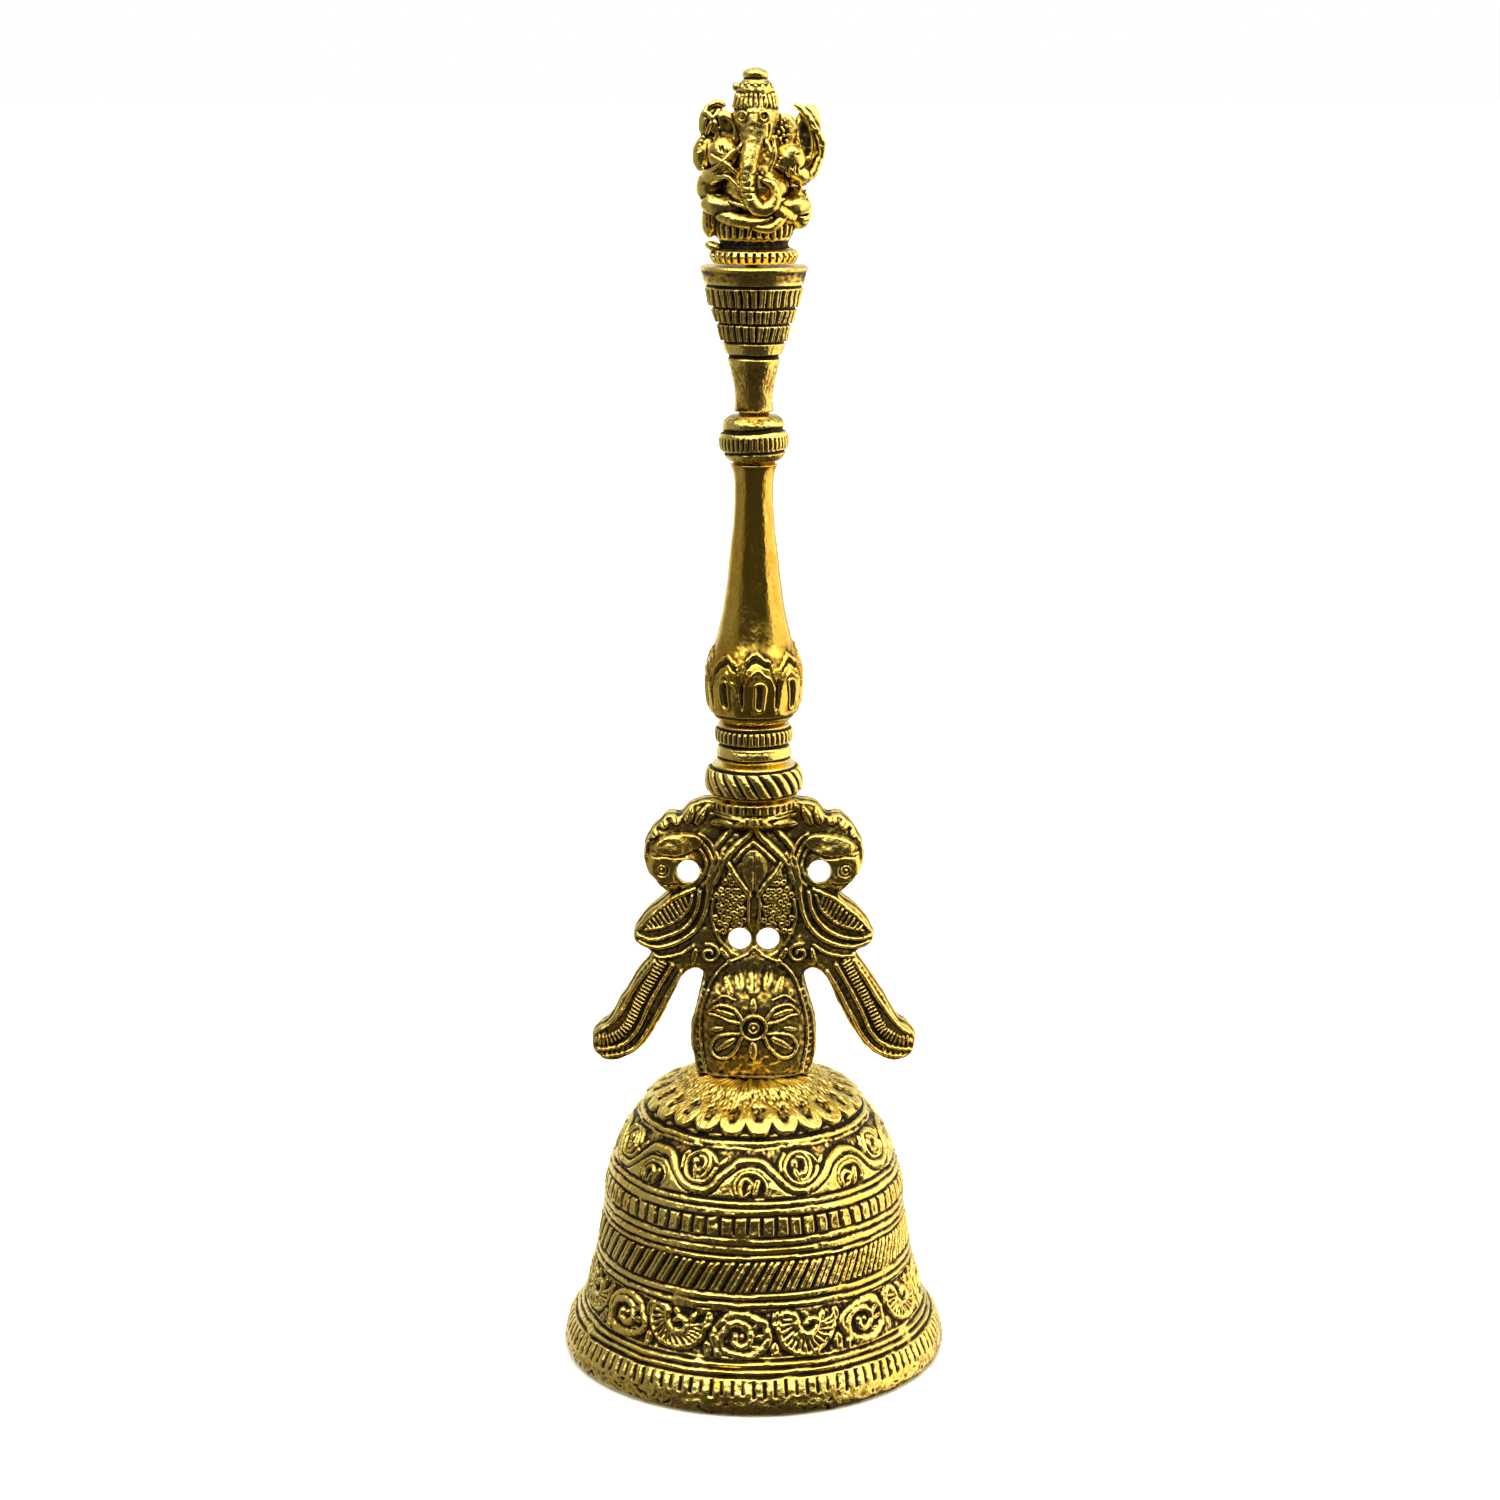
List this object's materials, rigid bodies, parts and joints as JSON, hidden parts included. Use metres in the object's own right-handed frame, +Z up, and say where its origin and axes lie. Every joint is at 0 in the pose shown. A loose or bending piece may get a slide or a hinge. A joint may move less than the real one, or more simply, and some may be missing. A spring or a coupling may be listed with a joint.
{
  "type": "puja hand bell",
  "caption": "Brass hand bell with an elephant-figure finial, baluster grip, pierced peacock bracket and a flared, banded cup with a swinging clapper.",
  "frame": {"origin": "centre of the rim's flat edge, which the bell stands on", "axes": "+Z up the handle; the bracket and the finial face -Y; X runs across the bracket"},
  "size_m": [0.061, 0.061, 0.2],
  "materials": {
    "cup_brass": "cast antique brass with dark patina in the relief",
    "bracket_brass": "cast antique brass, darker patina",
    "collar_brass": "cast antique brass with dark grooves",
    "grip_brass": "hand-polished antique brass",
    "capital_brass": "cast antique brass with dark patina in the relief",
    "finial_brass": "cast antique brass with dark patina in the relief",
    "steel": "dull oiled steel",
    "clapper_brass": "rough cast brass with bright strike marks"
  },
  "bodies": {
    "bell": {"bell_cup": "cup_brass", "peacock_bracket": "bracket_brass", "rope_collar": "collar_brass", "beaded_collar": "collar_brass", "baluster_grip": "grip_brass", "ringed_knop": "collar_brass", "leaf_capital": "capital_brass", "elephant_figure_finial": "finial_brass", "tie_rod": "steel", "hanger_eye_bolt": "steel", "hanger_washer": "steel"},
    "link": {"clapper_link": "steel"},
    "clapper": {"clapper_rod": "clapper_brass", "clapper_ball": "clapper_brass"}
  },
  "joints": [
    {"name": "link_twist", "type": "hinge", "parent": "bell", "child": "link", "pos_m": [0, 0, 0.0367], "axis": [0, 0, 1], "range_deg": [-40, 40]},
    {"name": "clapper_swing", "type": "hinge", "parent": "link", "child": "clapper", "pos_m": [0, 0, 0.03], "axis": [0, 1, 0], "range_deg": [-48, 48]}
  ]
}
